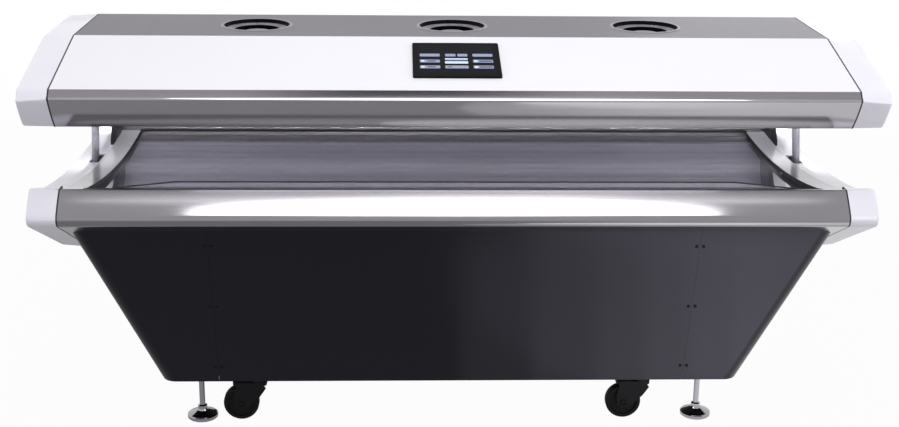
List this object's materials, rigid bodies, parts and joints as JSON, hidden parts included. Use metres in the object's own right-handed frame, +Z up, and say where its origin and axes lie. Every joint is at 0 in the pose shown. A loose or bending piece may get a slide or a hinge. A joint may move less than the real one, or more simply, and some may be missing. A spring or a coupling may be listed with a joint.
{
  "type": "red light therapy bed",
  "caption": "Red light therapy bed: lamp base on a skirted pedestal with casters and levelling feet, under a hinged lamp canopy with gas struts, roof fans and a touch screen.",
  "frame": {"origin": "centre of the bounding box's bottom, on the floor between the levelling feet", "axes": "+X along the bed to the right of a person facing its front, +Y from the front to the hinged rear, +Z up"},
  "size_m": [2.199, 1.01, 1.0895],
  "materials": {
    "white_gloss": "gloss",
    "white_sheet": "gloss",
    "grey_sheet": "satin",
    "black_sheet": "satin",
    "satin_rail": "brushed",
    "grey_trim": "gloss",
    "clear_acrylic": "clear",
    "black_seal": "matt",
    "tray_sheet": "satin",
    "lamp_board": "satin",
    "frame_steel": "satin",
    "chrome": "polished",
    "strut_steel": "satin",
    "black_plastic": "matt",
    "grey_plastic": "satin",
    "wheel_rubber": "matt",
    "screen": "gloss"
  },
  "bodies": {
    "base": {"base_front_rail": "satin_rail", "base_rear_rail": "satin_rail", "base_tub_pan": "tray_sheet", "lying_panel": "clear_acrylic", "saddle_trims": "grey_trim", "saddle_seals": "black_seal", "base_lamp_tray": "tray_sheet", "base_lamp_boards": "lamp_board", "base_end_frames": "frame_steel", "frame_rails": "frame_steel", "frame_members": "frame_steel", "power_supplies": "tray_sheet", "bottom_pan": "black_sheet", "skirt_front_panel": "black_sheet", "skirt_rear_panel": "black_sheet", "skirt_right_shell": "black_sheet", "skirt_left_shell": "black_sheet", "mains_inlet": "black_plastic", "base_right_cap": "white_gloss", "base_left_cap": "white_gloss", "base_end_seals": "black_seal", "caster_plates": "frame_steel"},
    "canopy": {"canopy_front_rail": "satin_rail", "canopy_rear_rail": "satin_rail", "canopy_top_panel": "grey_sheet", "canopy_front_panel": "white_sheet", "canopy_rear_panel": "white_sheet", "screen_frame": "black_plastic", "screen_glass": "screen", "control_unit": "black_plastic", "canopy_window": "clear_acrylic", "canopy_lamp_tray": "tray_sheet", "canopy_lamp_boards": "lamp_board", "canopy_ribs": "frame_steel", "canopy_end_frames": "frame_steel", "canopy_right_cap": "white_gloss", "canopy_left_cap": "white_gloss", "canopy_end_seals": "black_seal", "vent_rings": "grey_plastic", "fan_frames": "black_plastic"},
    "tube_left": {"strut_tube_left": "strut_steel"},
    "rod_left": {"strut_rod_left": "chrome"},
    "tube_right": {"strut_tube_right": "strut_steel"},
    "rod_right": {"strut_rod_right": "chrome"},
    "foot_front_left": {"levelling_foot_front_left": "chrome"},
    "fork_front_left": {"caster_fork_front_left": "frame_steel"},
    "wheel_front_left": {"caster_wheel_front_left": "wheel_rubber"},
    "foot_front_right": {"levelling_foot_front_right": "chrome"},
    "fork_front_right": {"caster_fork_front_right": "frame_steel"},
    "wheel_front_right": {"caster_wheel_front_right": "wheel_rubber"},
    "foot_rear_left": {"levelling_foot_rear_left": "chrome"},
    "fork_rear_left": {"caster_fork_rear_left": "frame_steel"},
    "wheel_rear_left": {"caster_wheel_rear_left": "wheel_rubber"},
    "foot_rear_right": {"levelling_foot_rear_right": "chrome"},
    "fork_rear_right": {"caster_fork_rear_right": "frame_steel"},
    "wheel_rear_right": {"caster_wheel_rear_right": "wheel_rubber"},
    "fan_left": {"fan_rotor_left": "grey_plastic"},
    "fan_middle": {"fan_rotor_middle": "grey_plastic"},
    "fan_right": {"fan_rotor_right": "grey_plastic"}
  },
  "joints": [
    {"name": "canopy_hinge", "type": "hinge", "parent": "base", "child": "canopy", "pos_m": [0, 0.43, 0.825], "axis": [-1, 0, 0], "range_deg": [0, 40]},
    {"name": "strut_swing_left", "type": "hinge", "parent": "base", "child": "tube_left", "pos_m": [-1.0425, 0.07, 0.516], "axis": [-1, 0, 0], "range_deg": [0, 10.8]},
    {"name": "strut_slide_left", "type": "slide", "parent": "tube_left", "child": "rod_left", "axis": [0, 0.3014, 0.9535], "range_m": [0, 0.155]},
    {"name": "strut_swing_right", "type": "hinge", "parent": "base", "child": "tube_right", "pos_m": [1.0425, 0.07, 0.516], "axis": [-1, 0, 0], "range_deg": [0, 10.8]},
    {"name": "strut_slide_right", "type": "slide", "parent": "tube_right", "child": "rod_right", "axis": [0, 0.3014, 0.9535], "range_m": [0, 0.155]},
    {"name": "foot_level_front_left", "type": "slide", "parent": "base", "child": "foot_front_left", "axis": [0, 0, -1], "range_m": [-0.015, 0.01]},
    {"name": "caster_swivel_front_left", "type": "hinge", "parent": "base", "child": "fork_front_left", "pos_m": [-0.545, -0.242, 0.11], "axis": [0, 0, 1], "continuous": true},
    {"name": "wheel_spin_front_left", "type": "hinge", "parent": "fork_front_left", "child": "wheel_front_left", "pos_m": [-0.596, -0.242, 0.051], "axis": [0, 1, 0], "continuous": true},
    {"name": "foot_level_front_right", "type": "slide", "parent": "base", "child": "foot_front_right", "axis": [0, 0, -1], "range_m": [-0.015, 0.01]},
    {"name": "caster_swivel_front_right", "type": "hinge", "parent": "base", "child": "fork_front_right", "pos_m": [0.545, -0.242, 0.11], "axis": [0, 0, 1], "continuous": true},
    {"name": "wheel_spin_front_right", "type": "hinge", "parent": "fork_front_right", "child": "wheel_front_right", "pos_m": [0.494, -0.242, 0.051], "axis": [0, 1, 0], "continuous": true},
    {"name": "foot_level_rear_left", "type": "slide", "parent": "base", "child": "foot_rear_left", "axis": [0, 0, -1], "range_m": [-0.015, 0.01]},
    {"name": "caster_swivel_rear_left", "type": "hinge", "parent": "base", "child": "fork_rear_left", "pos_m": [-0.545, 0.242, 0.11], "axis": [0, 0, 1], "continuous": true},
    {"name": "wheel_spin_rear_left", "type": "hinge", "parent": "fork_rear_left", "child": "wheel_rear_left", "pos_m": [-0.596, 0.242, 0.051], "axis": [0, 1, 0], "continuous": true},
    {"name": "foot_level_rear_right", "type": "slide", "parent": "base", "child": "foot_rear_right", "axis": [0, 0, -1], "range_m": [-0.015, 0.01]},
    {"name": "caster_swivel_rear_right", "type": "hinge", "parent": "base", "child": "fork_rear_right", "pos_m": [0.545, 0.242, 0.11], "axis": [0, 0, 1], "continuous": true},
    {"name": "wheel_spin_rear_right", "type": "hinge", "parent": "fork_rear_right", "child": "wheel_rear_right", "pos_m": [0.494, 0.242, 0.051], "axis": [0, 1, 0], "continuous": true},
    {"name": "fan_spin_left", "type": "hinge", "parent": "canopy", "child": "fan_left", "pos_m": [-0.545, 0, 1.05], "axis": [0, 0, 1], "continuous": true},
    {"name": "fan_spin_middle", "type": "hinge", "parent": "canopy", "child": "fan_middle", "pos_m": [0, 0, 1.05], "axis": [0, 0, 1], "continuous": true},
    {"name": "fan_spin_right", "type": "hinge", "parent": "canopy", "child": "fan_right", "pos_m": [0.545, 0, 1.05], "axis": [0, 0, 1], "continuous": true}
  ],
  "couplings": [
    {"joint": "strut_swing_left", "follows": "canopy_hinge", "ratio": 0.2674},
    {"joint": "strut_slide_left", "follows": "canopy_hinge", "m_per_rad": 0.2199},
    {"joint": "strut_swing_right", "follows": "canopy_hinge", "ratio": 0.2674},
    {"joint": "strut_slide_right", "follows": "canopy_hinge", "m_per_rad": 0.2199}
  ]
}
